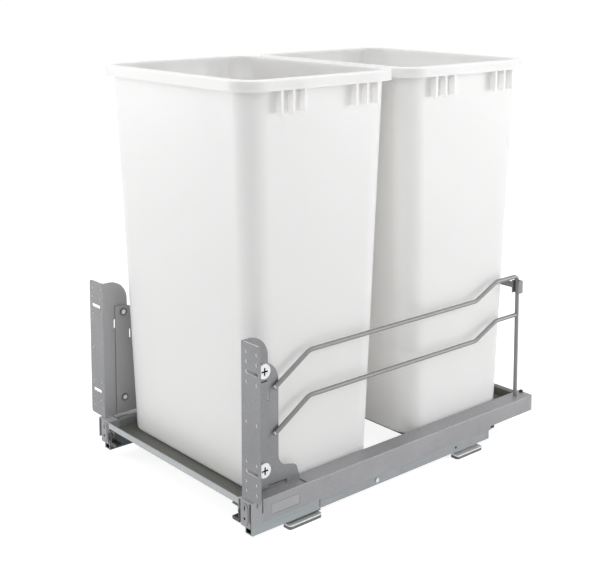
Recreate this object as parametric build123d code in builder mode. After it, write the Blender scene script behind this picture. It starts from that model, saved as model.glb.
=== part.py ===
from build123d import *

import os

# A floor-mounted pull-out frame that carries two waste bins, one behind the other, and
# fastens to the cabinet's door. Millimetres. X is the width, the door is at -Y, the
# cabinet's back at +Y, and Z is up from the cabinet floor. The frame is symmetric about
# the YZ plane: each side piece is drawn on the right (+X) and mirrored to the left.

os.makedirs("parts", exist_ok=True)

# ---- Driving dimensions -------------------------------------------------------------

overall_width = 396.0       # over the two door flanges
overall_depth = 548.0       # door face to the rear end of the side channels
overall_height = 573.5      # cabinet floor to the bin rims
travel = 450.0              # full extension
door_face = -overall_depth / 2

# Fits and clearances
running_gap = 0.3           # between balls and races, cages and races
shaft_gap = 0.05            # radial, between a turning shaft and its hole
seat_gap = 0.2              # between plates that slide on each other
weld_gap = 0.2              # round a rod that stands in a punched hole

# Door brackets, one at each side
bracket_sheet = 2.0
flange_width = 36.0
bracket_bottom = 60.0
bracket_height = 198.5
bracket_depth = 40.0
bracket_corner = 28.0
flange_corner = 4.0
door_hole = 4.5
door_hole_edge = 6.0        # outer hole column, from the flange's outer edge
door_hole_columns = 20.0    # between the two hole columns
door_hole_end = 11.25       # outermost hole row, from the flange's end
door_hole_step = 12.5       # between the rows near each end
door_hole_rows = (0, 1, 3)  # steps from the outermost row; the slots are at step 2
door_slot_length = 24.0
door_slot_width = 5.0
height_play = 2.0           # the bracket's height adjustment, each way
notch_length = 14.0         # upright slot in front of the upper cam bolt
notch_width = 3.0
notch_drop = 16.0           # its centre under the cam bolt's
lance_length = 14.0         # level slot under the upper cam bolt
lance_width = 2.0
lance_drop = 4.0            # under the cam bolt's disc

# Cam bolts that hold and adjust the door brackets
cam_y = 32.0                # from the door face
upper_cam_z = 212.5
lower_cam_z = 84.5
cam_shaft = 8.0
cam_disc = 20.0
cam_disc_height = 3.5
cam_chamfer = 0.8
cross_length = 10.0         # the screwdriver cross in the disc
cross_width = 2.2
cross_depth = 1.8
cam_tail = 11.0
cam_tail_height = 1.5

# Uprights that stand on the side channels
upright_sheet = 2.0
upright_front = 19.0
upright_rear = 58.5
upright_top = 222.5
upright_corner = 28.0
upright_lift = 5.5          # the plate's lower edge over the channel's top
upright_foot_end = 94.0
upright_foot_length = 22.0
upright_flange = 8.0
heel_rise = 21.0            # the concave bend behind the plate, over its lower edge
heel_radius = 18.0
toe_rise = 14.0             # the convex bend over the foot's end
toe_setback = 6.0
toe_radius = 7.0
plate_round = 2.0
foot_round = 1.0
upright_slot_length = 14.0
upright_slot_width = 2.5
upright_slot_inset = 15.5   # from the plate's rear edge
upright_slot_drop = 34.5    # under the upper cam bolt

# Side channels of the moving frame
channel_sheet = 1.5
channel_width = 27.5
channel_offset = 4.8        # centre plane of channel and slide, outside the bracket's bend
outer_skirt = 29.0
inner_skirt = 16.0
rear_skirt = 23.5
rear_skirt_length = 90.0
channel_start = 18.5        # from the door face
end_cap_length = 8.0
cap_gap = 1.5               # the open joint between front end cap and channel
screw_head = 6.0
screw_head_height = 3.5
screw_chamfer = 0.6
screw_offset = 5.0          # inside the slide's centre plane
end_cap_round = 2.0
tongue_height = 11.6        # the end cap's tongue over the skirt's lower edge
cap_slot_y = 8.0            # behind the cap's front edge
cap_slot_width = 1.5
cap_slot_height = 6.0
cap_slot_drop = 2.0
top_slot_start = 22.0
top_slot_length = 70.0
top_slot_width = 13.0
top_slot_inset = 2.25       # its outer edge, from the channel's outer face
channel_crease = 1.2
badge_length = 46.0
badge_height = 14.0
badge_depth = 0.5
badge_plate_sheet = 0.4
badge_gap = 0.4
badge_round = 1.0
badge_start = 32.0
badge_rise = 5.4            # badge's lower edge over the skirt's lower edge

# Telescopic slides
foot_height = 10.0          # the rail's underside over the floor
rail_sheet = 1.5
rail_width = 12.7
rail_setback = 6.0          # behind the door face
rail_length = 449.0
rail_outer_height = 14.0
rail_head_room = 3.0        # the inner wall's top under the drawer rail
lower_race = 4.0
upper_race = 6.5
middle_height = 31.0
middle_width = 7.2
middle_setback = 2.0        # behind the fixed rail's front end
middle_end_room = 11.0      # before the fixed rail's rear end
drawer_width = 20.0
drawer_outer_height = 25.5
drawer_inner_height = 22.5
drawer_start = 3.0
drawer_end_room = 6.0       # before the fixed rail's rear end
ball_pitch = 25.0
ball_count = 8
cage_sheet = 1.0
cage_margin = 8.0
cage_gap = 0.1              # round each ball
bumper_length = 14.0
bumper_height = 7.0
bumper_width = 2.0
bumper_drop = 3.0           # under the drawer rail's outer wall
bumper_round = 1.0

# Feet under the fixed rails
foot_length = 55.0
foot_reach = 11.5           # outside the rail's centre plane
foot_width = 31.5
foot_web_inset = 5.0
foot_sheet = 1.5
foot_corner = 4.0
foot_tab_margin = 7.0       # the inner tab's ends, from its screw holes' centres
pad_height = 4.0
front_foot_inset = 85.0     # foot centres, from the rail's ends
rear_foot_inset = 47.0
foot_screw_hole = 5.0
foot_screw_pitch = 24.0
foot_screw_inset = 5.5
side_plate_length = 110.5
side_plate_height = 16.0
rivet_head = 1.2            # height of the rivets' heads
foot_rivet = 2.0
foot_rivet_head = 4.0
foot_rivet_inset = 2.85     # from the rail's inner face
foot_rivet_pitch = 30.0
rail_rivet = 3.0
rail_rivet_head = 6.0
rail_rivet_y = 222.0        # on the fixed rail's outer wall, from the door face
rail_hole_y = 382.0
rail_hole = 3.5
rail_hole_rise = 6.5
lock_slot_width = 2.5       # in the outer wall, behind the front foot's side plate
lock_slot_height = 10.0
lock_slot_rise = 2.5

# Soft-close damper inboard of each fixed rail
damper_width = 10.0
damper_height = 14.0
damper_length = 150.0
damper_y = 225.0            # front end, from the door face
damper_rise = 4.0
damper_round = 2.0
damper_end = 10.0           # closed end behind the bore
damper_rod = 3.0
damper_stroke = 40.0
rod_reach = 30.0            # the rod's bare length at rest
rod_seat = 60.0             # what stays in the bore at full stroke
claw_length = 10.0
claw_width = 8.0
catch_drop = 11.0           # the catch under the channel's inner skirt
catch_width = 6.0
catch_lead = 3.0            # behind the claw

# Cross members
seat_drop = 12.0            # bin seat under the channels' top
bar_sheet = 2.0
bar_depth = 10.0
front_bar_length = 60.0
middle_bar_length = 26.0
rear_bar_length = 44.0
front_middle_bar_inset = 6.0     # inside the edge of the bin's base above it
rear_middle_bar_inset = 18.0
rear_wall_inset = 16.0      # from the channels' rear end
rear_wall_drop = 8.0
lip_height = 8.0
lip_drop = 1.3              # its top under the channels' top
lip_start = 0.5
lip_sheet = 1.5
lip_step = 4.0              # the front bar's step back under the lip
lip_step_room = 14.0        # from the step's ends to the channels

# Wire rails
wire_diameter = 6.0
wire_tail = 3.0             # the wire's end in front of its rivet
upper_wire_z = 223.0
lower_wire_z = 163.0
wire_climb_y = 108.0        # end of the front climb, from the door face
wire_climb = 36.5
rear_climb_inset = 95.0     # start of the rear climb, from the post
rear_climb_run = 46.0
rear_climb = 21.0
post_inset = 22.5           # from the channels' rear end
wire_bend = 18.0
post_bend = 9.0
post_depth = 5.0            # the post's end under the channel's top
rivet_inset = 6.0           # from the upright's rear edge
wire_rivet = 4.0
wire_rivet_head = 7.0

# Strap behind the bins
strap_height = 9.0
strap_sheet = 2.0
strap_drop = 16.5           # its centre under the upper wire's rear run
saddle_width = 13.0
saddle_height = 19.0

# Release levers under the front bar
lever_length = 9.5
lever_drop = 35.0           # the lever's foot under the channels' top
lever_hub = 7.0
lever_hub_height = 9.0
lever_reach = 15.0
lever_sheet = 2.5
lever_grip = 5.0
lever_round = 2.0
lever_y = 2.8
lever_pin = 4.0
lever_pin_inset = 4.0
lever_pin_rise = 2.5        # over the front bar

# Front latch plates
latch_width = 17.5
latch_height = 33.0
latch_sheet = 2.0
latch_offset = 0.75         # inside the slide's centre plane
latch_boss_length = 28.0
latch_boss_width = 13.0
latch_boss_height = 0.7
latch_boss_rise = 16.0      # its centre over the plate's lower edge
latch_hole = 4.0
latch_hole_rise = 10.5
latch_slot_length = 7.0
latch_slot_width = 2.4
latch_slot_rise = 24.0

# Bins
bin_side_room = 2.85        # the bin's base to the channels' inner faces, on each side
bin_start = 1.5             # front rim, from the door face
bin_rear_room = 4.5         # rear rim to the channels' rear end
bin_gap = 9.0
bin_wall = 2.5
bin_floor = 3.0
bin_taper = 10.0            # on each side, over the height
bin_taper_y = 20.8
rim_height = 13.8
rim_overhang = 10.8
rim_sheet = 2.5
rim_corner = 38.0
base_corner = 32.0
base_round = 5.0
rim_round = 1.5
rib_drop = 28.7
rib_count = 3
rib_pitch = 18.9
rib_width = 3.5
rib_inset = 1.0             # the ribs' outer faces, inside the rim's
rib_front_inset = 77.3      # rib group centres, from the bin's front and rear rims
rib_rear_inset = 63.8

# ---- Worked-out places --------------------------------------------------------------

bend_x = overall_width / 2 - flange_width
bracket_outer_x = bend_x + bracket_sheet
bracket_middle_z = bracket_bottom + bracket_height / 2

upright_outer_x = bend_x - seat_gap
upright_inner_x = upright_outer_x - upright_sheet

slide_x = bend_x + channel_offset
channel_inner_x = slide_x - channel_width / 2
channel_outer_x = slide_x + channel_width / 2

rail_floor_z = foot_height + rail_sheet
middle_bottom = rail_floor_z + lower_race
middle_top = middle_bottom + middle_height
drawer_ceiling = middle_top + upper_race
drawer_top = drawer_ceiling + rail_sheet
channel_top = drawer_top + channel_sheet
channel_bottom = channel_top - outer_skirt
channel_end = door_face + overall_depth - end_cap_length

rail_front = door_face + rail_setback
rail_rear = rail_front + rail_length
front_foot_y = rail_front + front_foot_inset
rear_foot_y = rail_rear - rear_foot_inset
seat_z = channel_top - seat_drop
bar_bottom = seat_z - bar_depth
upright_bottom = channel_top + upright_lift

channel_rear = door_face + overall_depth
post_x = upright_outer_x + wire_diameter / 2
post = channel_rear - post_inset
bin_width = 2 * (channel_inner_x - bin_side_room + bin_taper + rim_overhang)
bin_depth = (overall_depth - bin_start - bin_gap - bin_rear_room) / 2
bin_height = overall_height - seat_z


# ---- Drawing helpers ----------------------------------------------------------------


def across(y):
    """The plane at y whose sketches show X to the right and Z up; -length goes rearwards."""
    return Plane(origin=(0, y, 0), x_dir=(1, 0, 0), z_dir=(0, -1, 0))


def save(piece, name):
    """Label one finished piece and write it."""
    piece.part.label = name
    export_step(piece.part, f"parts/{name}.step")


def save_pair(piece, name):
    """Write the right-hand piece, and its mirror image as the left-hand one."""
    with BuildPart() as twin:
        mirror(piece.part, about=Plane.YZ)
    save(piece, f"{name}_right")
    save(twin, f"{name}_left")


def save_together(piece, name):
    """Write the right-hand solids and their mirror images as one node."""
    with BuildPart() as both:
        add(piece.part)
        mirror(piece.part, about=Plane.YZ)
    save(both, name)


def block(x0, x1, y0, y1, z0, z1, mode=Mode.ADD):
    """A box between two corners."""
    with Locations(((x0 + x1) / 2, (y0 + y1) / 2, (z0 + z1) / 2)):
        Box(x1 - x0, y1 - y0, z1 - z0, mode=mode)


# ---- Door brackets ------------------------------------------------------------------

hole_outer_x = overall_width / 2 - door_hole_edge
hole_inner_x = hole_outer_x - door_hole_columns
slot_x = (hole_outer_x + hole_inner_x) / 2

with BuildPart() as door_bracket:
    with BuildSketch(across(door_face)):
        with Locations(((bend_x + overall_width / 2) / 2, bracket_middle_z)):
            flange_face = Rectangle(flange_width, bracket_height)
        outer_corners = flange_face.vertices().group_by(Axis.X)[-1]
        fillet(outer_corners, flange_corner)
        with Locations((slot_x, bracket_middle_z)):
            with GridLocations(door_hole_columns, 1, 2, 1):
                Circle(door_hole / 2, mode=Mode.SUBTRACT)
            for steps in door_hole_rows:
                row = bracket_height / 2 - door_hole_end - steps * door_hole_step
                with GridLocations(door_hole_columns, 2 * row, 2, 2):
                    Circle(door_hole / 2, mode=Mode.SUBTRACT)
            slot_row = bracket_height / 2 - door_hole_end - 2 * door_hole_step
            with GridLocations(1, 2 * slot_row, 1, 2):
                SlotOverall(door_slot_length, door_slot_width, mode=Mode.SUBTRACT)
    extrude(amount=-bracket_sheet)
    with BuildSketch(Plane.YZ.offset(bend_x)):
        with Locations((door_face + bracket_depth / 2, bracket_middle_z)):
            side_face = Rectangle(bracket_depth, bracket_height)
        rear_corners = side_face.vertices().group_by(Axis.X)[-1]
        fillet(rear_corners.sort_by(Axis.Y)[-1], bracket_corner)
        for cam_z in (lower_cam_z, upper_cam_z):
            with Locations((door_face + cam_y, cam_z)):
                SlotOverall(cam_shaft + 2 * (height_play + seat_gap), cam_shaft + 2 * seat_gap,
                            rotation=90, mode=Mode.SUBTRACT)
        with Locations((door_face + upright_front, upper_cam_z - notch_drop)):
            SlotOverall(notch_length, notch_width, rotation=90, mode=Mode.SUBTRACT)
        with Locations((door_face + cam_y, upper_cam_z - cam_disc / 2 - lance_drop)):
            SlotOverall(lance_length, lance_width, mode=Mode.SUBTRACT)
    extrude(amount=bracket_sheet)
save_pair(door_bracket, "door_bracket")

# ---- Cam bolts: disc outside the bracket, shaft through both plates, tail inside -------

disc_inner_x = bracket_outer_x + seat_gap
tail_x = upright_inner_x - seat_gap
for level, cam_z in (("upper", upper_cam_z), ("lower", lower_cam_z)):
    centre = (door_face + cam_y, cam_z)
    with BuildPart() as cam_bolt:
        with BuildSketch(Plane.YZ.offset(tail_x)):
            with Locations(centre):
                Circle(cam_shaft / 2)
        extrude(amount=disc_inner_x - tail_x)
        with BuildSketch(Plane.YZ.offset(disc_inner_x)):
            with Locations(centre):
                Circle(cam_disc / 2)
        extrude(amount=cam_disc_height)
        outer_rim = cam_bolt.edges().filter_by(GeomType.CIRCLE).sort_by(Axis.X)[-1]
        chamfer(outer_rim, cam_chamfer)
        with BuildSketch(Plane.YZ.offset(disc_inner_x + cam_disc_height - cross_depth)):
            with Locations(centre):
                Rectangle(cross_length, cross_width)
                Rectangle(cross_width, cross_length)
        extrude(amount=cross_depth, mode=Mode.SUBTRACT)
        with BuildSketch(Plane.YZ.offset(tail_x)):
            with Locations(centre):
                Circle(cam_tail / 2)
        extrude(amount=-cam_tail_height)
    save_pair(cam_bolt, f"{level}_cam_bolt")

# ---- Uprights -------------------------------------------------------------------------

front = door_face + upright_front
rear = door_face + upright_rear
foot_end = door_face + upright_foot_end
foot_front = foot_end - upright_foot_length
climb_y = door_face + wire_climb_y
rivet_y = rear - rivet_inset
wire_start = rivet_y - wire_tail
rivet_fall = wire_climb * (climb_y - rivet_y) / (climb_y - wire_start)
rivet_levels = (upper_wire_z - rivet_fall, lower_wire_z - rivet_fall)
with BuildPart() as upright:
    with BuildSketch(Plane.YZ.offset(upright_inner_x)):
        with BuildLine():
            FilletPolyline(
                (front, upright_bottom), (front, upright_top), (rear, upright_top),
                (rear, upright_bottom + heel_rise), (foot_end - toe_setback, upright_bottom + toe_rise),
                (foot_end, channel_top), (foot_front, channel_top), (foot_front, upright_bottom),
                radius=[plate_round, plate_round, upright_corner, heel_radius, toe_radius,
                        foot_round, foot_round, foot_round], close=True)
        make_face()
        for cam_z in (lower_cam_z, upper_cam_z):
            with Locations((door_face + cam_y, cam_z)):
                Circle(cam_shaft / 2 + shaft_gap, mode=Mode.SUBTRACT)
        with Locations((rear - upright_slot_inset, upper_cam_z - upright_slot_drop)):
            SlotOverall(upright_slot_length, upright_slot_width, rotation=90, mode=Mode.SUBTRACT)
        for z in rivet_levels:
            with Locations((rivet_y, z)):
                Circle(wire_rivet / 2, mode=Mode.SUBTRACT)
    extrude(amount=upright_sheet)
    block(upright_outer_x - upright_flange, upright_inner_x, front, foot_end - foot_round,
          channel_top, channel_top + upright_sheet)
save_pair(upright, "upright")

# ---- Wire rails -----------------------------------------------------------------------

radius = wire_diameter / 2
rear_climb_y = post - rear_climb_inset


def wire_route(level, end_y):
    """The bent run of one wire: up from the upright, straight along the bins, up again."""
    return [(wire_start, level - wire_climb), (climb_y, level), (rear_climb_y, level),
            (rear_climb_y + rear_climb_run, level + rear_climb), (end_y, level + rear_climb)]


with BuildPart() as upper_wire:
    with BuildLine(Plane.YZ.offset(post_x)) as upper_path:
        FilletPolyline(*wire_route(upper_wire_z, post), (post, channel_top - post_depth),
                       radius=[wire_bend, wire_bend, wire_bend, post_bend])
    with BuildSketch(Plane(origin=upper_path.line @ 0, z_dir=upper_path.line % 0)):
        Circle(radius)
    sweep()
save_pair(upper_wire, "upper_wire")

with BuildPart() as lower_wire:
    with BuildLine(Plane.YZ.offset(post_x)) as lower_path:
        FilletPolyline(*wire_route(lower_wire_z, post - radius), radius=wire_bend)
    with BuildSketch(Plane(origin=lower_path.line @ 0, z_dir=lower_path.line % 0)):
        Circle(radius)
    sweep()
save_pair(lower_wire, "lower_wire")

with BuildPart() as wire_rivets:
    for z in rivet_levels:
        centre = (rivet_y, z)
        with BuildSketch(Plane.YZ.offset(upright_inner_x)):
            with Locations(centre):
                Circle(wire_rivet / 2)
        extrude(amount=upright_sheet)
        with BuildSketch(Plane.YZ.offset(upright_inner_x)):
            with Locations(centre):
                Circle(wire_rivet_head / 2)
        extrude(amount=-rivet_head)
save_together(wire_rivets, "wire_rivets")

# ---- Strap behind the bins, with a saddle round each post -------------------------------

strap_front = post + radius
strap_top = upper_wire_z + rear_climb - strap_drop + strap_height / 2
with BuildPart() as rear_strap:
    block(-post_x, post_x, strap_front, strap_front + strap_sheet, strap_top - strap_height, strap_top)
    for x in (-post_x, post_x):
        saddle_top = strap_top + (saddle_height - strap_height) / 2
        block(x - saddle_width / 2, x + saddle_width / 2, strap_front, strap_front + strap_sheet,
              saddle_top - saddle_height, saddle_top)
        for wall_x in (x - saddle_width / 2, x + saddle_width / 2 - strap_sheet):
            block(wall_x, wall_x + strap_sheet, post - radius - strap_sheet, strap_front,
                  saddle_top - saddle_height, saddle_top)
save(rear_strap, "rear_strap")

# ---- Side channels ----------------------------------------------------------------------


def channel_section(outer_wall):
    """Draw the inverted U of a side channel, with the given outer wall, on the open sketch."""
    inner_low = channel_top - inner_skirt
    outer_low = channel_top - outer_wall
    under = channel_top - channel_sheet
    section = Polygon(
        (channel_inner_x, inner_low), (channel_inner_x, channel_top),
        (channel_outer_x, channel_top), (channel_outer_x, outer_low),
        (channel_outer_x - channel_sheet, outer_low), (channel_outer_x - channel_sheet, under),
        (channel_inner_x + channel_sheet, under), (channel_inner_x + channel_sheet, inner_low),
        align=None)
    fillet(section.vertices().group_by(Axis.Y)[-1], channel_crease)


skirt_step = channel_end - rear_skirt_length
with BuildPart() as side_channel:
    with BuildSketch(across(door_face + channel_start)):
        channel_section(outer_skirt)
    extrude(amount=-(skirt_step - door_face - channel_start))
    with BuildSketch(across(skirt_step)):
        channel_section(rear_skirt)
    extrude(amount=-rear_skirt_length)
    slot_y = door_face + top_slot_start + top_slot_length / 2
    top_slot_x = channel_outer_x - top_slot_inset - top_slot_width / 2
    with Locations((top_slot_x, slot_y, channel_top - channel_sheet / 2)):
        Box(top_slot_width, top_slot_length, 3 * channel_sheet, mode=Mode.SUBTRACT)
    badge_low = channel_bottom + badge_rise
    badge_y = door_face + badge_start
    block(channel_outer_x - badge_depth, channel_outer_x + 1, badge_y, badge_y + badge_length,
          badge_low, badge_low + badge_height, mode=Mode.SUBTRACT)
    with Locations((post_x, post, channel_top - channel_sheet / 2)):
        Cylinder(radius + weld_gap, 3 * channel_sheet, mode=Mode.SUBTRACT)
save_pair(side_channel, "side_channel")

with BuildPart() as badge_plate:
    badge_inner_x = channel_outer_x - badge_depth
    block(badge_inner_x, badge_inner_x + badge_plate_sheet,
          badge_y + badge_gap, badge_y + badge_length - badge_gap,
          badge_low + badge_gap, badge_low + badge_height - badge_gap)
    fillet(badge_plate.edges().filter_by(Axis.X), badge_round)
save_together(badge_plate, "badge_plates")

with BuildPart() as front_end_cap:
    cap_y = door_face + lip_start
    with BuildSketch(across(cap_y)):
        channel_section(outer_skirt)
    extrude(amount=-(channel_start - lip_start - cap_gap))
    block(channel_outer_x - channel_sheet, channel_outer_x, door_face + channel_start - cap_gap,
          door_face + channel_start, channel_bottom, channel_bottom + tongue_height)
    cap_slot_top = channel_top - cap_slot_drop
    block(channel_outer_x - 2 * channel_sheet, channel_outer_x + channel_sheet,
          cap_y + cap_slot_y, cap_y + cap_slot_y + cap_slot_width,
          cap_slot_top - cap_slot_height, cap_slot_top, mode=Mode.SUBTRACT)
    block(channel_inner_x, channel_inner_x + channel_sheet, door_face + channel_start - cap_gap,
          door_face + channel_start, channel_top - inner_skirt, channel_top - channel_sheet)
save_pair(front_end_cap, "front_end_cap")

with BuildPart() as rear_end_cap:
    slide_room_top = drawer_ceiling - rail_head_room / 2
    with BuildSketch(across(channel_end)):
        with Locations((slide_x, channel_top - rear_skirt / 2)):
            Rectangle(channel_width, rear_skirt)
        with Locations((slide_x, slide_room_top)):
            Rectangle(drawer_width, rear_skirt, align=(Align.CENTER, Align.MAX), mode=Mode.SUBTRACT)
    extrude(amount=-end_cap_length)
    rear_face = rear_end_cap.faces().sort_by(Axis.Y)[-1]
    tall_edges = rear_face.edges().filter_by(Axis.Z).sort_by(Axis.X)
    fillet([tall_edges[0], tall_edges[-1]], end_cap_round)
save_pair(rear_end_cap, "rear_end_cap")

with BuildPart() as end_cap_screws:
    with BuildSketch(Plane.XY.offset(channel_top)):
        with Locations((slide_x - screw_offset, channel_end + end_cap_length / 2)):
            Circle(screw_head / 2)
    extrude(amount=screw_head_height)
    chamfer(end_cap_screws.faces().sort_by(Axis.Z)[-1].edges(), screw_chamfer)
save_together(end_cap_screws, "end_cap_screws")

# ---- Front latch plates, under the end caps ----------------------------------------------

latch_y = door_face + drawer_start - latch_sheet
latch_x = slide_x - latch_offset
latch_low = channel_top - channel_sheet - latch_height
with BuildPart() as front_latch:
    with BuildSketch(across(latch_y)):
        with Locations((latch_x, latch_low + latch_height / 2)):
            Rectangle(latch_width, latch_height)
    extrude(amount=-latch_sheet)
    with BuildSketch(across(latch_y)):
        with Locations((latch_x, latch_low + latch_boss_rise)):
            SlotOverall(latch_boss_length, latch_boss_width, rotation=90)
    extrude(amount=latch_boss_height)
    with BuildSketch(across(latch_y - latch_boss_height)):
        with Locations((latch_x, latch_low + latch_hole_rise)):
            Circle(latch_hole / 2)
        with Locations((latch_x, latch_low + latch_slot_rise)):
            SlotOverall(latch_slot_length, latch_slot_width, rotation=90)
    extrude(amount=-(latch_boss_height + latch_sheet), mode=Mode.SUBTRACT)
save_together(front_latch, "front_latches")

# ---- Telescopic slides: fixed rail, middle rail and drawer rail, on balls ------------------

foot_rivet_x = slide_x - rail_width / 2 + foot_rivet_inset
side_plate_rear = rail_front + side_plate_length
with BuildPart() as cabinet_rail:
    with BuildSketch(across(rail_front)):
        with BuildLine():
            left = slide_x - rail_width / 2
            right = slide_x + rail_width / 2
            inner_top = drawer_ceiling - rail_head_room
            outer_top = foot_height + rail_outer_height
            Polyline(
                (left, foot_height), (right, foot_height), (right, outer_top),
                (right - rail_sheet, outer_top), (right - rail_sheet, rail_floor_z),
                (left + rail_sheet, rail_floor_z), (left + rail_sheet, inner_top), (left, inner_top),
                close=True)
        make_face()
    extrude(amount=-rail_length)
    wall_centre_x = right - rail_sheet / 2
    for y, bore in ((door_face + rail_rivet_y, rail_rivet), (door_face + rail_hole_y, rail_hole)):
        with Locations(Location((wall_centre_x, y, foot_height + rail_hole_rise), (0, 90, 0))):
            Cylinder(bore / 2, 3 * rail_sheet, mode=Mode.SUBTRACT)
    lock_slot_low = foot_height + lock_slot_rise
    block(right - 2 * rail_sheet, right + rail_sheet, side_plate_rear, side_plate_rear + lock_slot_width,
          lock_slot_low, lock_slot_low + lock_slot_height, mode=Mode.SUBTRACT)
    for centre_y in (front_foot_y, rear_foot_y):
        with Locations((foot_rivet_x, centre_y, foot_height)):
            with GridLocations(1, foot_rivet_pitch, 1, 2):
                Cylinder(foot_rivet / 2, 4 * rail_sheet, mode=Mode.SUBTRACT)
save_pair(cabinet_rail, "cabinet_rail")

with BuildPart() as middle_rail:
    with BuildSketch(across(rail_front + middle_setback)):
        with Locations((slide_x, (middle_bottom + middle_top) / 2)):
            Rectangle(rail_sheet, middle_height)
        for z in (middle_bottom + rail_sheet / 2, middle_top - rail_sheet / 2):
            with Locations((slide_x, z)):
                Rectangle(middle_width, rail_sheet)
    extrude(amount=-(rail_length - middle_setback - middle_end_room))
save_pair(middle_rail, "middle_rail")

drawer_left = slide_x - drawer_width / 2
drawer_right = slide_x + drawer_width / 2
drawer_rear = rail_rear - drawer_end_room
with BuildPart() as drawer_rail:
    with BuildSketch(across(door_face + drawer_start)):
        with BuildLine():
            inner_low = drawer_top - drawer_inner_height
            outer_low = drawer_top - drawer_outer_height
            Polyline(
                (drawer_left, inner_low), (drawer_left, drawer_top), (drawer_right, drawer_top),
                (drawer_right, outer_low), (drawer_right - rail_sheet, outer_low),
                (drawer_right - rail_sheet, drawer_ceiling), (drawer_left + rail_sheet, drawer_ceiling),
                (drawer_left + rail_sheet, inner_low), close=True)
        make_face()
    extrude(amount=-(drawer_rear - door_face - drawer_start))
save_pair(drawer_rail, "drawer_rail")

with BuildPart() as rear_bumper:
    bumper_low = outer_low - bumper_drop
    block(drawer_right - bumper_width, drawer_right, drawer_rear, drawer_rear + bumper_length,
          bumper_low, bumper_low + bumper_height)
    fillet(rear_bumper.edges().filter_by(Axis.X), bumper_round)
save_together(rear_bumper, "rear_bumpers")

# The balls' rows start where both rails still overlap at full extension.
cage_y = rail_front + travel / 4 + cage_margin
for level, race_low, race in (("lower", rail_floor_z, lower_race), ("upper", middle_top, upper_race)):
    ball = race / 2 - running_gap
    centre_z = race_low + race / 2
    rows = [cage_y + cage_margin + i * ball_pitch for i in range(ball_count)]
    cage_length = (ball_count - 1) * ball_pitch + 2 * cage_margin
    with BuildPart() as ball_cage:
        block(slide_x - middle_width / 2, slide_x + middle_width / 2, cage_y, cage_y + cage_length,
              centre_z - cage_sheet / 2, centre_z + cage_sheet / 2)
        for y in rows:
            with Locations((slide_x, y, centre_z)):
                Cylinder(ball + cage_gap, 2 * cage_sheet, mode=Mode.SUBTRACT)
    save_pair(ball_cage, f"{level}_ball_cage")
    with BuildPart() as slide_balls:
        for y in rows:
            with Locations((slide_x, y, centre_z)):
                Sphere(ball)
    save_pair(slide_balls, f"{level}_balls")

# ---- Feet, their pads, side plates and rivets ----------------------------------------------

flange_inner = slide_x - rail_width / 2
web_x = flange_inner + foot_web_inset
foot_outer = slide_x + foot_reach
foot_inner = foot_outer - foot_width
screw_x = foot_inner + foot_screw_inset
foot_places = (("front", front_foot_y), ("rear", rear_foot_y))


def foot_outline(centre_y):
    """Draw a foot's lower flange on the open sketch: an outer strip, an inner tab, two screw holes."""
    with Locations(((web_x + foot_outer) / 2, centre_y)):
        Rectangle(foot_outer - web_x, foot_length)
    with Locations(((foot_inner + foot_outer) / 2, centre_y)):
        Rectangle(foot_width, foot_screw_pitch + 2 * foot_tab_margin)
    with Locations((screw_x, centre_y)):
        with GridLocations(1, foot_screw_pitch, 1, 2):
            Circle(foot_screw_hole / 2, mode=Mode.SUBTRACT)


for place, centre_y in foot_places:
    foot_y = (centre_y - foot_length / 2, centre_y + foot_length / 2)
    flange_low = foot_height - foot_sheet
    with BuildPart() as foot:
        block(flange_inner, web_x + foot_sheet, *foot_y, flange_low, foot_height)
        block(web_x, web_x + foot_sheet, *foot_y, pad_height, foot_height)
        with BuildSketch(Plane.XY.offset(pad_height)):
            foot_outline(centre_y)
        extrude(amount=foot_sheet)
        outer_corners = foot.edges().filter_by(Axis.Z).group_by(Axis.X)[-1]
        fillet(outer_corners, foot_corner)
        if place == "front":
            block(web_x, right + rail_sheet, *foot_y, flange_low, foot_height)
            block(right, right + rail_sheet, rail_front, side_plate_rear,
                  foot_height, foot_height + side_plate_height)
        with Locations((foot_rivet_x, centre_y, foot_height)):
            with GridLocations(1, foot_rivet_pitch, 1, 2):
                Cylinder(foot_rivet / 2, 3 * foot_sheet, mode=Mode.SUBTRACT)
    save_pair(foot, f"{place}_foot")
    with BuildPart() as foot_pad:
        with BuildSketch():
            foot_outline(centre_y)
        extrude(amount=pad_height)
        fillet(foot_pad.edges().filter_by(Axis.Z).group_by(Axis.X)[-1], foot_corner)
    save_together(foot_pad, f"{place}_foot_pads")

with BuildPart() as rail_rivets:
    for place, centre_y in foot_places:
        for y in (centre_y - foot_rivet_pitch / 2, centre_y + foot_rivet_pitch / 2):
            with BuildSketch(Plane.XY.offset(flange_low)):
                with Locations((foot_rivet_x, y)):
                    Circle(foot_rivet / 2)
            extrude(amount=foot_sheet + rail_sheet)
            with BuildSketch(Plane.XY.offset(flange_low)):
                with Locations((foot_rivet_x, y)):
                    Circle(foot_rivet_head / 2)
            extrude(amount=-rivet_head)
    wall_rivet = (door_face + rail_rivet_y, foot_height + rail_hole_rise)
    with BuildSketch(Plane.YZ.offset(right)):
        with Locations(wall_rivet):
            Circle(rail_rivet_head / 2)
    extrude(amount=rivet_head)
    with BuildSketch(Plane.YZ.offset(right)):
        with Locations(wall_rivet):
            Circle(rail_rivet / 2)
    extrude(amount=-rail_sheet)
save_together(rail_rivets, "rail_rivets")

# ---- Soft-close damper: housing on the fixed rail, rod with its claw, catch on the frame -----

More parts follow.
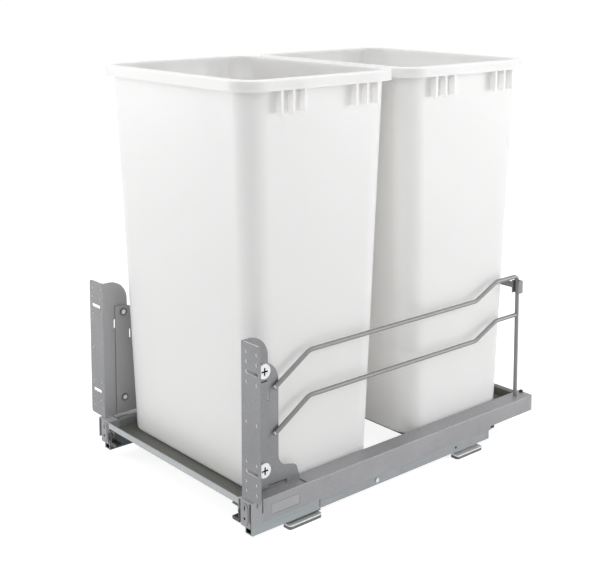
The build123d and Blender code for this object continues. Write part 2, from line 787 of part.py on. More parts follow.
damper_right = left
damper_centre_x = damper_right - damper_width / 2
damper_front = door_face + damper_y
damper_low = foot_height + damper_rise
damper_z = damper_low + damper_height / 2
with BuildPart() as damper_housing:
    block(damper_right - damper_width, damper_right, damper_front, damper_front + damper_length,
          damper_low, damper_low + damper_height)
    fillet(damper_housing.edges().filter_by(Axis.Y), damper_round)
    bore_depth = damper_length - damper_end
    with Locations(Location((damper_centre_x, damper_front + bore_depth / 2, damper_z), (90, 0, 0))):
        Cylinder(damper_rod / 2 + shaft_gap, bore_depth, mode=Mode.SUBTRACT)
save_pair(damper_housing, "damper_housing")

claw_rear = damper_front - rod_reach
claw_top = channel_top - inner_skirt - catch_drop - 2 * running_gap
with BuildPart() as damper_rod_piece:
    rod_length = rod_reach + damper_stroke + rod_seat
    with Locations(Location((damper_centre_x, claw_rear + rod_length / 2, damper_z), (90, 0, 0))):
        Cylinder(damper_rod / 2, rod_length)
    block(damper_centre_x - claw_width / 2, damper_centre_x + claw_width / 2,
          claw_rear - claw_length, claw_rear, damper_low, claw_top)
save_pair(damper_rod_piece, "damper_rod")

with BuildPart() as damper_catch:
    catch_y = claw_rear + catch_lead
    catch_low = channel_top - inner_skirt - catch_drop
    block(channel_inner_x, channel_inner_x + channel_sheet, catch_y, catch_y + catch_width,
          catch_low, channel_top - inner_skirt)
save_together(damper_catch, "damper_catches")

# ---- Cross members and front lip ------------------------------------------------------------

lip_rear = door_face + lip_start + lip_sheet
lip_top = channel_top - lip_drop
lever_pivot_x = channel_inner_x - lever_pin_inset
lever_pivot_y = door_face + lever_y + lever_length / 2
with BuildPart() as front_cross_bar:
    step_x = channel_inner_x - lip_step_room
    step_y = lip_rear + lip_step
    step_z = lip_top - lip_height + bar_sheet
    block(-channel_inner_x, channel_inner_x, step_y, lip_rear + front_bar_length,
          seat_z - bar_sheet, seat_z)
    for end_x in (-channel_inner_x, step_x):
        block(end_x, end_x + lip_step_room, lip_rear, step_y, seat_z - bar_sheet, seat_z)
    block(-step_x, step_x, step_y, step_y + bar_sheet, seat_z, step_z)
    block(-step_x, step_x, lip_rear, step_y + bar_sheet, step_z - bar_sheet, step_z)
    block(-channel_inner_x, channel_inner_x, lip_rear, lip_rear + bar_sheet,
          step_z - bar_sheet, lip_top - bar_sheet / 2)
    block(-channel_inner_x, channel_inner_x, lip_rear + front_bar_length - bar_sheet,
          lip_rear + front_bar_length, bar_bottom, seat_z)
    for x in (-lever_pivot_x, lever_pivot_x):
        with Locations((x, lever_pivot_y, seat_z)):
            Cylinder(lever_pin / 2 + shaft_gap, 3 * bar_sheet, mode=Mode.SUBTRACT)
save(front_cross_bar, "front_cross_bar")

base_inset = rim_overhang + bin_taper_y
front_base_rear = door_face + bin_start + bin_depth - base_inset
rear_base_front = door_face + bin_start + bin_depth + bin_gap + base_inset
front_bar_rear = front_base_rear - front_middle_bar_inset
for place, bar_front in (("front", front_bar_rear - middle_bar_length),
                         ("rear", rear_base_front + rear_middle_bar_inset)):
    bar_rear = bar_front + middle_bar_length
    with BuildPart() as middle_bar:
        block(-channel_inner_x, channel_inner_x, bar_front, bar_rear, seat_z - bar_sheet, seat_z)
        for wall_y in (bar_front, bar_rear - bar_sheet):
            block(-channel_inner_x, channel_inner_x, wall_y, wall_y + bar_sheet, bar_bottom, seat_z)
    save(middle_bar, f"{place}_middle_bar")

rear_wall = channel_rear - rear_wall_inset
with BuildPart() as rear_cross_bar:
    block(-channel_inner_x, channel_inner_x, rear_wall - rear_bar_length, rear_wall,
          seat_z - bar_sheet, seat_z)
    block(-channel_inner_x, channel_inner_x, rear_wall, rear_wall + bar_sheet,
          bar_bottom, channel_top)
    block(-channel_inner_x, channel_inner_x, rear_wall, rear_wall + rear_wall_drop + bar_sheet,
          channel_top - bar_sheet, channel_top)
    block(-channel_inner_x, channel_inner_x, rear_wall - rear_bar_length,
          rear_wall - rear_bar_length + bar_sheet, bar_bottom, seat_z)
save(rear_cross_bar, "rear_cross_bar")

with BuildPart() as front_lip:
    block(-channel_inner_x, channel_inner_x, door_face + lip_start, lip_rear,
          lip_top - lip_height, lip_top)
save(front_lip, "front_lip")

# ---- Release levers ----------------------------------------------------------------------------

lever_outer = channel_inner_x - seat_gap
lever_front = door_face + lever_y
lever_rear = lever_front + lever_length
lever_low = channel_top - lever_drop
hub_top = seat_z - bar_sheet - running_gap
with BuildPart() as release_lever:
    block(lever_outer - lever_sheet, lever_outer, lever_front, lever_rear,
          lever_low, channel_top - inner_skirt - running_gap)
    block(lever_outer - lever_reach, lever_outer, lever_front, lever_rear,
          lever_low, lever_low + lever_grip)
    fillet(release_lever.edges().filter_by(Axis.Y).sort_by(Axis.X)[:2], lever_round)
    with Locations((lever_pivot_x, lever_pivot_y, hub_top - lever_hub_height / 2)):
        Cylinder(lever_hub / 2, lever_hub_height)
    pin_top = seat_z + lever_pin_rise
    with Locations((lever_pivot_x, lever_pivot_y, (hub_top + pin_top) / 2)):
        Cylinder(lever_pin / 2, pin_top - hub_top)
save_pair(release_lever, "release_lever")

# ---- Bins -----------------------------------------------------------------------------------------

rim_low = bin_height - rim_height


def bin_section(middle_y, z, inset, width, depth, corner):
    """A rounded rectangle of a bin at height z over its base, drawn in by inset."""
    with BuildSketch(Plane((0, middle_y, seat_z + z))) as section:
        RectangleRounded(width - 2 * inset, depth - 2 * inset, corner - inset)
    return section.sketch


for place, order in (("front", 0), ("rear", 1)):
    middle_y = door_face + bin_start + bin_depth / 2 + order * (bin_depth + bin_gap)
    body_width = bin_width - 2 * rim_overhang
    body_depth = bin_depth - 2 * rim_overhang
    body_corner = rim_corner - rim_overhang + bin_wall
    rib_reach = 2 * (rim_overhang - rib_inset)
    base_width = body_width - 2 * bin_taper
    base_depth = body_depth - 2 * bin_taper_y
    with BuildPart() as waste_bin:
        loft([bin_section(middle_y, 0, 0, base_width, base_depth, base_corner),
              bin_section(middle_y, bin_height, 0, body_width, body_depth, body_corner)])
        fillet(waste_bin.faces().sort_by(Axis.Z)[0].edges(), base_round)
        for group_y in (middle_y - bin_depth / 2 + rib_front_inset,
                        middle_y + bin_depth / 2 - rib_rear_inset):
            with Locations((0, group_y, seat_z + rim_low - rib_drop / 2 + rim_height / 2)):
                with GridLocations(body_width, rib_pitch, 2, rib_count):
                    Box(rib_reach, rib_width, rib_drop + rim_height)
        with BuildSketch(Plane((0, middle_y, seat_z + rim_low))):
            RectangleRounded(bin_width, bin_depth, rim_corner)
            RectangleRounded(bin_width - 2 * rim_sheet, bin_depth - 2 * rim_sheet,
                             rim_corner - rim_sheet, mode=Mode.SUBTRACT)
        extrude(amount=rim_height)
        with BuildSketch(Plane((0, middle_y, overall_height - rim_sheet))):
            RectangleRounded(bin_width, bin_depth, rim_corner)
        extrude(amount=rim_sheet)
        fillet(waste_bin.faces().sort_by(Axis.Z)[-1].outer_wire().edges(), rim_round)
        loft([bin_section(middle_y, bin_floor, bin_wall, base_width, base_depth, base_corner),
              bin_section(middle_y, bin_height, bin_wall, body_width, body_depth, body_corner)],
             mode=Mode.SUBTRACT)
    save(waste_bin, f"{place}_bin")
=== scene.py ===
"""Pull-out waste bin frame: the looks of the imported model, its floor, light and camera.

Metres. +X is the right side seen from the door, -Y is towards the door, +Z is up, and the floor is z = 0.
"""

import bpy
import numpy as np
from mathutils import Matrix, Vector


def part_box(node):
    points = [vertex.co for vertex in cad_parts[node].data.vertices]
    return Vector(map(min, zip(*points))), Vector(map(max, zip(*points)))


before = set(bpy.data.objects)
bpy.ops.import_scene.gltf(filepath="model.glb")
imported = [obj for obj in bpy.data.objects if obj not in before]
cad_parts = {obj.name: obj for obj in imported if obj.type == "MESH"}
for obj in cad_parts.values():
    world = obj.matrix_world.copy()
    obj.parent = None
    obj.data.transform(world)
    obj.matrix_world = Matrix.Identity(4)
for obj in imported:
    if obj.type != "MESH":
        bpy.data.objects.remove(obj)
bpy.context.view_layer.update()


# Feet: four Z-shaped pressings of zinc-plated rolled steel that hold each slide off the cabinet floor.
# The plating leaves a cold, faintly lined sheen that runs the way the strip was rolled. The flange's top is
# painted near-white, a painted highlight for the light it catches, and the short web over it lies in the
# slide's shade and is painted dark as painted shade.
SIDES = ("right", "left")
ENDS = ("front", "rear")
X, Y, Z = range(3)


def linear(hex_colour):
    """An sRGB hex colour as linear RGBA: c / 12.92 below 0.04045, else ((c + 0.055) / 1.055) ** 2.4."""
    c = np.array([int(hex_colour[i : i + 2], 16) / 255 for i in (1, 3, 5)])
    return (*np.where(c <= 0.04045, c / 12.92, ((c + 0.055) / 1.055) ** 2.4), 1.0)


def add(material, kind, inputs=None, **settings):
    """One shader node of that kind with its settings.

    Each input gets a plain value, or a link from the socket given for it. A Mix node repeats its names, so
    its inputs go by number: 0 is the factor, 2 and 3 are the values, 6 and 7 the colours.
    """
    made = material.node_tree.nodes.new(kind)
    for name, value in settings.items():
        setattr(made, name, value)
    for name, value in (inputs or {}).items():
        if isinstance(value, bpy.types.NodeSocket):
            material.node_tree.links.new(value, made.inputs[name])
        else:
            made.inputs[name].default_value = value
    return made


def blank(name):
    """A new material whose shader feeds its output: the material, its shader and its Object coordinates."""
    material = bpy.data.materials.new(name)
    material.use_nodes = True
    material.node_tree.nodes.clear()
    shader = add(material, "ShaderNodeBsdfPrincipled")
    add(material, "ShaderNodeOutputMaterial", {"Surface": shader.outputs[0]})
    return material, shader, add(material, "ShaderNodeTexCoord").outputs["Object"]


def join(material, shader, sockets):
    """Each of the shader's inputs named in sockets takes the output given for it."""
    for name, output in sockets.items():
        material.node_tree.links.new(output, shader.inputs[name])


def dress(material, *nodes):
    """The material goes on every slot of these CAD nodes."""
    for name in nodes:
        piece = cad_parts[name]
        piece.data.materials.clear()
        piece.data.materials.append(material)


def zinc_plated_strip(name, dark, light, rough, metallic=1.0):
    """Rolled steel strip with a clear zinc plating: metal, rolling lines along Y, soft patches 18 mm across.

    The real rolling lines are about 0.2 mm apart; they are drawn 1.6 mm apart and 80 mm long, so as to show.
    The tone goes from dark to light by lines times patches plus 0.22, and the gloss by the patches alone.
    """
    material, shader, place = blank(name)
    along = add(material, "ShaderNodeMapping", {"Vector": place, "Scale": (625, 12, 625)})
    lines = add(material, "ShaderNodeTexNoise", {"Vector": along.outputs[0], "Scale": 1.0, "Detail": 3.0})
    clouds = add(
        material,
        "ShaderNodeTexNoise",
        {"Vector": place, "Scale": 55.0, "Detail": 4.0, "Roughness": 0.6},
    )
    pattern = add(
        material,
        "ShaderNodeMath",
        {0: lines.outputs[0], 1: clouds.outputs[0], 2: 0.22},
        operation="MULTIPLY_ADD",
    )
    tone = add(
        material,
        "ShaderNodeMix",
        {0: pattern.outputs[0], 6: linear(dark), 7: linear(light)},
        data_type="RGBA",
    )
    gloss = add(
        material,
        "ShaderNodeMapRange",
        {
            "Value": clouds.outputs[0],
            "From Min": 0.3,
            "From Max": 0.7,
            "To Min": rough[0],
            "To Max": rough[1],
        },
    )
    bump = add(material, "ShaderNodeBump", {"Height": lines.outputs[0], "Strength": 0.25, "Distance": 0.0002})
    shader.inputs["Metallic"].default_value = metallic
    join(
        material,
        shader,
        {"Base Color": tone.outputs[2], "Roughness": gloss.outputs[0], "Normal": bump.outputs[0]},
    )
    return material


def band(material, axis, low, high, folded=False):
    """1 where the place along X, Y or Z is between low and high metres, and 0 elsewhere.

    It is 1 where abs(place - (low + high) / 2) is at most (high - low) / 2. Folded, it reads abs(place), so
    that one mask serves both the right and the left piece.
    """
    place = add(material, "ShaderNodeTexCoord").outputs["Object"]
    along = add(material, "ShaderNodeSeparateXYZ", {"Vector": place}).outputs[axis]
    if folded:
        along = add(material, "ShaderNodeMath", {0: along}, operation="ABSOLUTE").outputs[0]
    middle, half = float(low + high) / 2, float(high - low) / 2
    return add(material, "ShaderNodeMath", {0: along, 1: middle, 2: half}, operation="COMPARE").outputs[0]


def repaint(material, mask, tone, metallic=None):
    """Where the mask is 1, the base colour turns into that tone, and metallic into the value given."""
    shader = next(node for node in material.node_tree.nodes if node.type == "BSDF_PRINCIPLED")
    before = shader.inputs["Base Color"].links[0].from_socket
    mixed = add(material, "ShaderNodeMix", {0: mask, 6: before, 7: linear(tone)}, data_type="RGBA")
    join(material, shader, {"Base Color": mixed.outputs[2]})
    if metallic is not None:
        plain = shader.inputs["Metallic"].default_value
        level = add(material, "ShaderNodeMix", {0: mask, 2: plain, 3: metallic})
        join(material, shader, {"Metallic": level.outputs[0]})


FLANGE_TOP = 0.0058
WEB_TOP = 0.0098
foot_zinc = zinc_plated_strip("passivated_zinc_steel", "#8f979a", "#aeb5b7", rough=(0.45, 0.6), metallic=0.4)
# Painted highlight: the flange below FLANGE_TOP is painted near-white.
repaint(foot_zinc, band(foot_zinc, Z, 0.0, FLANGE_TOP), "#f0f1f0")
# Painted shade: the web between FLANGE_TOP and WEB_TOP is painted dark and not metallic.
repaint(foot_zinc, band(foot_zinc, Z, FLANGE_TOP, WEB_TOP), "#3c3f40", metallic=0.0)
dress(foot_zinc, *(f"{end}_foot_{side}" for end in ENDS for side in SIDES))


# Foot pads: mid-grey rubber glued under each foot, so that the frame neither slides nor drums on the
# cabinet floor. Moulded rubber is nearly matt, a little dusty and slightly uneven.
def moulded_rubber(name, dark, light):
    """Matt rubber: a fine even pebble, and paler dusty patches about 12 mm across.

    The real pebble is about 0.3 mm across; it is drawn 1.2 mm across so that it shows.
    """
    material, shader, place = blank(name)
    dust = add(material, "ShaderNodeTexNoise", {"Vector": place, "Scale": 80.0, "Detail": 5.0})
    pebble = add(material, "ShaderNodeTexNoise", {"Vector": place, "Scale": 830.0, "Detail": 2.0})
    tone = add(
        material,
        "ShaderNodeMix",
        {0: dust.outputs[0], 6: linear(dark), 7: linear(light)},
        data_type="RGBA",
    )
    bump = add(material, "ShaderNodeBump", {"Height": pebble.outputs[0], "Strength": 0.3, "Distance": 0.0002})
    shader.inputs["Roughness"].default_value = 0.78
    shader.inputs["IOR"].default_value = 1.52
    join(material, shader, {"Base Color": tone.outputs[2], "Normal": bump.outputs[0]})
    return material


dress(moulded_rubber("moulded_grey_rubber", "#6c6e6f", "#828485"), "front_foot_pads", "rear_foot_pads")


# Slides, fixed and middle rails: C-shaped strips roll-formed from the same plated steel, riveted to the feet.
# Rolling polishes them, so they are smoother than the feet. The middle rails are drawn in a darker tone of
# the same zinc. The fixed rails' inner walls, which face the bins, are painted darker and less metallic:
# painted shade.
def inward(material):
    """1 on faces that look towards the plane x = 0: the sign of X times the normal's X is under -0.5."""
    place = add(material, "ShaderNodeTexCoord").outputs["Object"]
    x = add(material, "ShaderNodeSeparateXYZ", {"Vector": place}).outputs[X]
    normal = add(material, "ShaderNodeNewGeometry").outputs["True Normal"]
    normal_x = add(material, "ShaderNodeSeparateXYZ", {"Vector": normal}).outputs[X]
    side = add(material, "ShaderNodeMath", {0: x}, operation="SIGN").outputs[0]
    facing = add(material, "ShaderNodeMath", {0: side, 1: normal_x}, operation="MULTIPLY").outputs[0]
    return add(material, "ShaderNodeMath", {0: facing, 1: -0.5}, operation="LESS_THAN").outputs[0]


rail_zinc = zinc_plated_strip("zinc_plated_rail", "#777b7d", "#a6a9ab", rough=(0.30, 0.44))
# Painted shade: faces that look inward, towards the bins, are darker and less metallic.
repaint(rail_zinc, inward(rail_zinc), "#4b555a", metallic=0.3)
dress(rail_zinc, *(f"cabinet_rail_{side}" for side in SIDES))
# The middle rails take a darker tone of the same zinc.
middle_rail_zinc = zinc_plated_strip("darker_middle_rail_zinc", "#4e5153", "#747779", rough=(0.30, 0.44))
dress(middle_rail_zinc, *(f"middle_rail_{side}" for side in SIDES))


# Rivets and damper rods: small turned pieces with a bright, slightly blue zinc plating, pressed or peened in.
# They were tumbled before plating, so they are bright with many fine dings and no direction.
def bright_zinc(name, dark, light):
    """Tumbled, bright-plated zinc: metal, with dings that change both the tone and the normal.

    The real dings are up to 0.5 mm across; they are drawn about 1.5 mm across so that they show.
    """
    material, shader, place = blank(name)
    dings = add(
        material,
        "ShaderNodeTexNoise",
        {"Vector": place, "Scale": 650.0, "Detail": 3.0, "Roughness": 0.55},
    )
    tone = add(
        material,
        "ShaderNodeMix",
        {0: dings.outputs[0], 6: linear(dark), 7: linear(light)},
        data_type="RGBA",
    )
    gloss = add(material, "ShaderNodeMapRange", {"Value": dings.outputs[0], "To Min": 0.2, "To Max": 0.36})
    bump = add(material, "ShaderNodeBump", {"Height": dings.outputs[0], "Strength": 0.2, "Distance": 0.00015})
    shader.inputs["Metallic"].default_value = 1.0
    join(
        material,
        shader,
        {"Base Color": tone.outputs[2], "Roughness": gloss.outputs[0], "Normal": bump.outputs[0]},
    )
    return material


plated_small_parts = bright_zinc("bright_plated_zinc", "#b9bcbf", "#dfe1e2")
dress(plated_small_parts, "rail_rivets", *(f"damper_rod_{side}" for side in SIDES))


# Balls, cages and damper housings: hardened, ground steel balls held apart in strips of dark grey moulded
# nylon, which is also the dampers' plastic. The balls are mirror-bright, and the nylon carries the fine,
# even grain of a sparked mould.
def sparked_plastic(name, dark, light, grain_mm, rough, ior):
    """Moulded plastic with a spark-eroded grain, and a faint change of tone, 40 mm across, from its flow.

    The real grain is about 0.05 mm; grain_mm, over 1, is how wide it is drawn so that it shows.
    """
    material, shader, place = blank(name)
    grain = add(material, "ShaderNodeTexNoise", {"Vector": place, "Scale": 1000 / grain_mm, "Detail": 2.0})
    flow = add(material, "ShaderNodeTexNoise", {"Vector": place, "Scale": 25.0, "Detail": 3.0})
    mixed = add(material, "ShaderNodeMix", {0: 0.6, 2: grain.outputs[0], 3: flow.outputs[0]})
    tone = add(
        material,
        "ShaderNodeMix",
        {0: mixed.outputs[0], 6: linear(dark), 7: linear(light)},
        data_type="RGBA",
    )
    gloss = add(
        material,
        "ShaderNodeMapRange",
        {"Value": flow.outputs[0], "To Min": rough - 0.06, "To Max": rough + 0.06},
    )
    bump = add(material, "ShaderNodeBump", {"Height": grain.outputs[0], "Strength": 0.25, "Distance": 0.0001})
    shader.inputs["IOR"].default_value = ior
    join(
        material,
        shader,
        {"Base Color": tone.outputs[2], "Roughness": gloss.outputs[0], "Normal": bump.outputs[0]},
    )
    return material


def ground_steel(name, colour):
    """A hardened steel ball after lapping: mirror metal, its gloss varied by a trace of oil 2.5 mm across."""
    material, shader, place = blank(name)
    oil = add(material, "ShaderNodeTexNoise", {"Vector": place, "Scale": 400.0, "Detail": 2.0})
    gloss = add(material, "ShaderNodeMapRange", {"Value": oil.outputs[0], "To Min": 0.06, "To Max": 0.2})
    shader.inputs["Metallic"].default_value = 1.0
    shader.inputs["Base Color"].default_value = linear(colour)
    join(material, shader, {"Roughness": gloss.outputs[0]})
    return material


ROWS = ("lower", "upper")
lapped_steel = ground_steel("lapped_steel_ball", "#c9cacc")
dress(lapped_steel, *(f"{row}_balls_{side}" for row in ROWS for side in SIDES))
dark_nylon = sparked_plastic("dark_moulded_nylon", "#3a3a3b", "#4a4a4c", grain_mm=1.1, rough=0.5, ior=1.53)
dress(
    dark_nylon,
    *(f"{row}_ball_cage_{side}" for row in ROWS for side in SIDES),
    *(f"damper_housing_{side}" for side in SIDES),
)


# Drawer rails and side channels: strips folded from 1.5 mm steel sheet and powder-coated silver grey.
# The coat is an epoxy with fine aluminium flake: even, with a soft sheen and a shallow orange peel.
def flake_powder_coat(name, dark, light, rough=0.42):
    """Silver powder coat: faint flake sparkle, orange peel, and a drift of tone 70 mm wide in the coat.

    Real flakes are 0.05 mm and the peel about 1 mm across; they are drawn 1.3 mm and 2.5 mm across to show.
    """
    material, shader, place = blank(name)
    flakes = add(material, "ShaderNodeTexVoronoi", {"Vector": place, "Scale": 770.0})
    peel = add(material, "ShaderNodeTexNoise", {"Vector": place, "Scale": 400.0, "Detail": 2.0})
    drift = add(material, "ShaderNodeTexNoise", {"Vector": place, "Scale": 14.0, "Detail": 3.0})
    sparkle = add(material, "ShaderNodeSeparateColor", {"Color": flakes.outputs["Color"]})
    mixed = add(material, "ShaderNodeMix", {0: 0.72, 2: sparkle.outputs[0], 3: drift.outputs[0]})
    tone = add(
        material,
        "ShaderNodeMix",
        {0: mixed.outputs[0], 6: linear(dark), 7: linear(light)},
        data_type="RGBA",
    )
    gloss = add(
        material,
        "ShaderNodeMapRange",
        {"Value": drift.outputs[0], "To Min": rough - 0.07, "To Max": rough + 0.07},
    )
    bump = add(material, "ShaderNodeBump", {"Height": peel.outputs[0], "Strength": 0.22, "Distance": 0.0002})
    shader.inputs["Metallic"].default_value = 0.3
    shader.inputs["IOR"].default_value = 1.5
    join(
        material,
        shader,
        {"Base Color": tone.outputs[2], "Roughness": gloss.outputs[0], "Normal": bump.outputs[0]},
    )
    return material


silver_coat = flake_powder_coat("silver_flake_powder_coat", "#838386", "#a7a7aa")
dress(silver_coat, *(f"{part}_{side}" for part in ("drawer_rail", "side_channel") for side in SIDES))


# Channel ends, badge places and bumpers: snap-in caps moulded in silver-grey ABS, bare badge plates in the
# channels' recesses, black screws in the rear caps and black bumpers on the drawer rails' rear ends.
cap_abs = sparked_plastic("silver_moulded_abs", "#98999b", "#a6a7a9", grain_mm=1.3, rough=0.46, ior=1.54)
dress(cap_abs, *(f"{end}_end_cap_{side}" for end in ENDS for side in SIDES))
plate_abs = sparked_plastic("bare_badge_plate_abs", "#a0a1a3", "#adaeb0", grain_mm=1.2, rough=0.34, ior=1.54)
dress(plate_abs, "badge_plates")
black_nylon = sparked_plastic("black_moulded_nylon", "#1d1d1e", "#282829", grain_mm=1.1, rough=0.44, ior=1.53)
dress(black_nylon, "rear_bumpers", "end_cap_screws")


# Cross members: four pressed steel bars in a darker coat tie the two channels and carry the bins.
# Their coat is the same powder without flake, a warm dark grey with a duller sheen.
def plain_powder_coat(name, dark, light, rough=0.5):
    """Dark powder coat: orange peel over a drift of tone 55 mm wide, no flake and no metal.

    The real peel is about 1 mm across; it is drawn 2.5 mm across so that it shows.
    """
    material, shader, place = blank(name)
    peel = add(material, "ShaderNodeTexNoise", {"Vector": place, "Scale": 400.0, "Detail": 2.0})
    drift = add(material, "ShaderNodeTexNoise", {"Vector": place, "Scale": 18.0, "Detail": 4.0})
    mixed = add(material, "ShaderNodeMix", {0: 0.65, 2: peel.outputs[0], 3: drift.outputs[0]})
    tone = add(
        material,
        "ShaderNodeMix",
        {0: mixed.outputs[0], 6: linear(dark), 7: linear(light)},
        data_type="RGBA",
    )
    bump = add(material, "ShaderNodeBump", {"Height": peel.outputs[0], "Strength": 0.25, "Distance": 0.0002})
    shader.inputs["Roughness"].default_value = rough
    join(material, shader, {"Base Color": tone.outputs[2], "Normal": bump.outputs[0]})
    return material


dark_coat = plain_powder_coat("dark_powder_coat", "#5b5b57", "#6b6b66")
dress(dark_coat, "front_cross_bar", "front_middle_bar", "rear_middle_bar", "rear_cross_bar", "damper_catches")


# Front lip, latch plates and release levers: the plates are coated with the channels, the lip in a paler
# silver, and the levers are dark nylon. They are squeezed to take the frame off its slides.
dress(silver_coat, "front_latches")
dress(flake_powder_coat("pale_silver_powder_coat", "#9ea1a3", "#c0c3c5"), "front_lip")
dress(dark_nylon, *(f"release_lever_{side}" for side in SIDES))


# Uprights, side wires and rear strap: folded sheet brackets on the channels carry two 6 mm wires a side,
# bent from drawn rod and coated; a flat strap ties the wires' rear posts. Plated rivets close the joints.
# The pressings' inner faces are painted paler: painted light from the white bins beside them. The wires'
# front ends are painted pale: a painted highlight.
def coated_pressing(name):
    """The silver coat on a folded pressing: darker outside, and paler on faces that look inward as painted
    light.
    """
    material = flake_powder_coat(name, "#757577", "#999a9c")
    # Painted light: faces that look inward, towards the bins, take a paler tone.
    repaint(material, inward(material), "#adadaf")
    return material


dress(coated_pressing("silver_coated_pressing"), "rear_strap", *(f"upright_{side}" for side in SIDES))
wire_coat = flake_powder_coat("silver_coated_wire", "#807f7f", "#8f8e8d", rough=0.38)
LIT_END_REACH = 0.0022
wire_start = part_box("upper_wire_right")[0].y
# Painted highlight: a pale band over the wires' front ends.
repaint(wire_coat, band(wire_coat, Y, wire_start - LIT_END_REACH, wire_start + LIT_END_REACH), "#cfcfce")
dress(wire_coat, *(f"{row}_wire_{side}" for row in ROWS for side in SIDES))
dress(plated_small_parts, "wire_rivets")


# Door brackets: angle plates of 2 mm coated sheet that screw to the back of the door. The walls of the holes
# in their door flanges carry painted light: pale and not metallic, where in their own shade they would render
# dark. That tone keeps off the sheet's two faces and off the flanges' outer rims.
def overlap(material, first, *others):
    """1 where all of these masks are 1, and 0 elsewhere: their product."""
    for other in others:
        first = add(material, "ShaderNodeMath", {0: first, 1: other}, operation="MULTIPLY").outputs[0]
    return first


BRACKET_SHEET = 0.002
SHEET_SKIN = 0.00005
INNER_MARGIN = 0.004
OUTER_MARGIN = 0.003
bracket_coat = coated_pressing("silver_coated_door_bracket")
bracket_low, bracket_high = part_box("door_bracket_right")
door_face = bracket_low.y
normal = add(bracket_coat, "ShaderNodeNewGeometry").outputs["True Normal"]
normal_y = add(bracket_coat, "ShaderNodeSeparateXYZ", {"Vector": normal}).outputs[Y]
edge_on = add(bracket_coat, "ShaderNodeMath", {0: normal_y, 1: 0.0, 2: 0.5}, operation="COMPARE").outputs[0]
in_sheet = band(bracket_coat, Y, door_face + SHEET_SKIN, door_face + BRACKET_SHEET - SHEET_SKIN)
off_the_rims = band(
    bracket_coat, X, bracket_low.x + INNER_MARGIN, bracket_high.x - OUTER_MARGIN, folded=True
)
# Painted light: the flange holes' walls turn pale and lose their metal.
repaint(bracket_coat, overlap(bracket_coat, in_sheet, edge_on, off_the_rims), "#d0d0d1", metallic=0.0)
dress(bracket_coat, *(f"door_bracket_{side}" for side in SIDES))


# Cam bolts: die-cast, bright-plated eccentric bolts that shift the brackets up, down and back to line the
# door up. The driver's cross is painted near-black, painted shade in the recess with some grease in it, and
# the tail inside the upright is painted darker round a painted highlight at its centre.
CROSS_REACH = 0.0054
CROSS_FLOOR = 0.0022
CROSS_RIM = 0.0003
TAIL_HEIGHT = 0.0016
HIGHLIGHT_RADIUS = 0.0032
for row in ROWS:
    cast_zinc = bright_zinc(f"die_cast_zinc_{row}_cam", "#8f9395", "#ffffff")
    bolt_low, bolt_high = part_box(f"{row}_cam_bolt_right")
    axis = (bolt_low + bolt_high) / 2
    place = add(cast_zinc, "ShaderNodeTexCoord").outputs["Object"]
    from_axis = add(
        cast_zinc,
        "ShaderNodeMapping",
        {"Vector": place, "Location": (0, -axis.y, -axis.z), "Scale": (0, 1, 1)},
    )
    length = add(cast_zinc, "ShaderNodeVectorMath", {0: from_axis.outputs[0]}, operation="LENGTH")
    radius = length.outputs["Value"]
    near = add(cast_zinc, "ShaderNodeMath", {0: radius, 1: CROSS_REACH}, operation="LESS_THAN").outputs[0]
    sunk = band(cast_zinc, X, bolt_high.x - CROSS_FLOOR, bolt_high.x - CROSS_RIM, folded=True)
    # Painted shade: the floor of the driver's cross turns near-black.
    repaint(cast_zinc, overlap(cast_zinc, sunk, near), "#1e1f20")
    tail = band(cast_zinc, X, bolt_low.x - TAIL_HEIGHT, bolt_low.x + TAIL_HEIGHT, folded=True)
    # The tail inside the upright is painted darker.
    repaint(cast_zinc, tail, "#8a8d8f")
    core = add(cast_zinc, "ShaderNodeMath", {0: radius, 1: HIGHLIGHT_RADIUS}, operation="LESS_THAN").outputs[0]
    # Painted highlight: a near-white, non-metallic dot at the tail's centre.
    repaint(cast_zinc, overlap(cast_zinc, tail, core), "#fafafa", metallic=0.0)
    dress(cast_zinc, *(f"{row}_cam_bolt_{side}" for side in SIDES))


# Bins: tall tapered tubs injection-moulded in white polypropylene, rim ribs and all, in one shot.
# The plastic is satin and slightly translucent, with a fine grain and faint upright flow marks.
def white_polypropylene(name, dark, light):
    """White moulded polypropylene: a fine grain, upright flow marks 45 mm wide, and light that sinks in 6 mm.

    The real grain is about 0.05 mm; it is drawn 1.4 mm across so that it shows.
    """
    material, shader, place = blank(name)
    grain = add(material, "ShaderNodeTexNoise", {"Vector": place, "Scale": 710.0, "Detail": 2.0})
    upright = add(material, "ShaderNodeMapping", {"Vector": place, "Scale": (22, 22, 3)})
    flow = add(material, "ShaderNodeTexNoise", {"Vector": upright.outputs[0], "Scale": 1.0, "Detail": 3.0})
    tone = add(
        material,
        "ShaderNodeMix",
        {0: flow.outputs[0], 6: linear(dark), 7: linear(light)},
        data_type="RGBA",
    )
    gloss = add(material, "ShaderNodeMapRange", {"Value": flow.outputs[0], "To Min": 0.36, "To Max": 0.48})
    bump = add(material, "ShaderNodeBump", {"Height": grain.outputs[0], "Strength": 0.18, "Distance": 0.0001})
    shader.inputs["IOR"].default_value = 1.49
    shader.inputs["Subsurface Weight"].default_value = 1.0
    shader.inputs["Subsurface Radius"].default_value = (1.0, 1.0, 1.0)
    shader.inputs["Subsurface Scale"].default_value = 0.006
    join(
        material,
        shader,
        {"Base Color": tone.outputs[2], "Roughness": gloss.outputs[0], "Normal": bump.outputs[0]},
    )
    return material


dress(white_polypropylene("white_moulded_polypropylene", "#fbfaf7", "#fdfcfa"), "front_bin", "rear_bin")


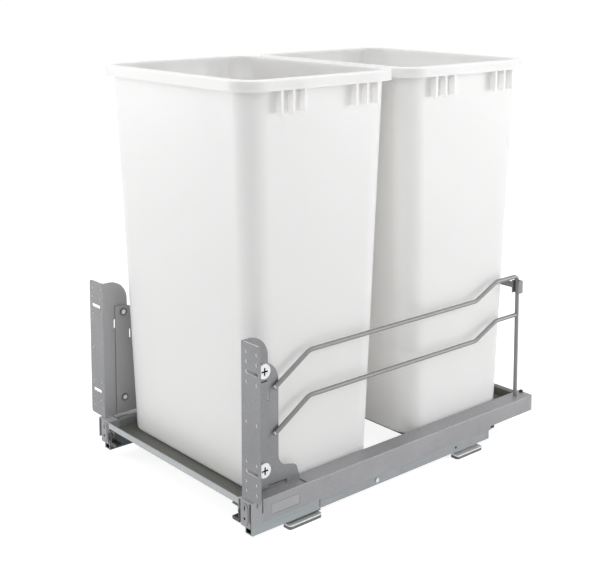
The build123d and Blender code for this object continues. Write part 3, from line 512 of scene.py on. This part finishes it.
# Floor: a wide sheet of matt white card. It keeps the frame's soft shadow. To the camera, and in mirrors, it
# is a greyer card with a glow of its own, so that it reads as the white ground of a product picture.
def sheet_of_card(name, across):
    """A flat square of 4 by 4 quads at z = 0, with its corners at +-across / 2."""
    u = np.linspace(-across / 2, across / 2, 5)
    x, y = np.meshgrid(u, u)
    corner = np.arange(16) + np.arange(16) // 4
    mesh = bpy.data.meshes.new(name)
    mesh.from_pydata(
        np.stack([x.ravel(), y.ravel(), np.zeros(25)], 1).tolist(),
        [],
        np.stack([corner, corner + 1, corner + 6, corner + 5], 1).tolist(),
    )
    sheet = bpy.data.objects.new(name, mesh)
    bpy.context.scene.collection.objects.link(sheet)
    return sheet


def seen_directly(owner):
    """1 for a ray from the camera, a mirror or clear glass, 0 for light on its way to the frame."""
    rays = add(owner, "ShaderNodeLightPath").outputs
    seen = rays["Is Camera Ray"]
    for kind in ("Is Glossy Ray", "Is Transmission Ray"):
        seen = add(owner, "ShaderNodeMath", {0: seen, 1: rays[kind]}, operation="MAXIMUM").outputs[0]
    return seen


FLOOR_ACROSS = 60.0
floor = sheet_of_card("floor", FLOOR_ACROSS)
card = bpy.data.materials.new("matt_white_card")
card.use_nodes = True
card.node_tree.nodes.clear()
paper = add(card, "ShaderNodeBsdfDiffuse", {"Color": linear("#f2f2f2")})
shaded = add(card, "ShaderNodeBsdfDiffuse", {"Color": linear("#b5b5b5")})
glow = add(card, "ShaderNodeEmission", {"Color": (1, 1, 1, 1), "Strength": 0.85})
lifted = add(card, "ShaderNodeAddShader", {0: shaded.outputs[0], 1: glow.outputs[0]})
either = add(card, "ShaderNodeMixShader", {0: seen_directly(card), 1: paper.outputs[0], 2: lifted.outputs[0]})
add(card, "ShaderNodeOutputMaterial", {"Surface": either.outputs[0]})
floor.data.materials.append(card)

# Studio light: a dim white room with tall soft lamps low at the left of the front and behind at the right,
# which leave the nearest corner of each bin a little darker, one high over the front corner and one overhead.
# A plain level: a colour on the frame renders about as it is written. The room is white where it is seen.
room = bpy.data.worlds.new("even_white_room")
room.use_nodes = True
room.node_tree.nodes.clear()
air = add(room, "ShaderNodeBackground", {"Color": (1, 1, 1, 1), "Strength": 0.4})
white = add(room, "ShaderNodeBackground", {"Color": (1, 1, 1, 1), "Strength": 1.0})
sky = add(room, "ShaderNodeMixShader", {0: seen_directly(room), 1: air.outputs[0], 2: white.outputs[0]})
add(room, "ShaderNodeOutputWorld", {"Surface": sky.outputs[0]})
bpy.context.scene.world = room

AIM = Vector((0.0, 0.0, 0.3))
for name, stand, width, height, watts in (
    ("soft_lamp_left", (-1.7, -1.6, 0.7), 1.2, 1.5, 20.5),
    ("soft_lamp_rear", (1.6, 1.7, 0.7), 1.2, 1.5, 23.5),
    ("soft_lamp_high", (1.3, -1.5, 2.0), 1.6, 1.6, 12.0),
    ("soft_lamp_top", (0.0, 0.0, 2.6), 1.2, 1.2, 18.5),
):
    lamp = bpy.data.lights.new(name, "AREA")
    lamp.shape = "RECTANGLE"
    lamp.size = width
    lamp.size_y = height
    lamp.energy = watts
    holder = bpy.data.objects.new(name, lamp)
    holder.location = stand
    holder.rotation_euler = (AIM - Vector(stand)).to_track_quat("-Z", "Y").to_euler()
    bpy.context.scene.collection.objects.link(holder)

# Camera: where the photograph was taken from, solved from the frame's own corners: in front of the right side
# and a little above the bins. A 36 mm sensor, with its centre shifted as the picture was cropped.
PHOTO_WIDTH = 612
PHOTO_HEIGHT = 576
FOCAL_PIXELS = 1131.4
LENS_AXIS_ROW = 100.0
LENS_AXIS = Vector((-0.7511, 0.6501, -0.1151))
view = bpy.data.cameras.new("camera")
view.sensor_width = 36.0
view.lens = view.sensor_width * FOCAL_PIXELS / PHOTO_WIDTH
view.shift_y = (LENS_AXIS_ROW - PHOTO_HEIGHT / 2) / PHOTO_WIDTH
camera = bpy.data.objects.new("camera", view)
camera.location = (1.2191, -1.0847, 0.7059)
camera.rotation_euler = LENS_AXIS.to_track_quat("-Z", "Y").to_euler()
bpy.context.scene.collection.objects.link(camera)
bpy.context.scene.camera = camera
bpy.context.scene.view_settings.view_transform = "Standard"
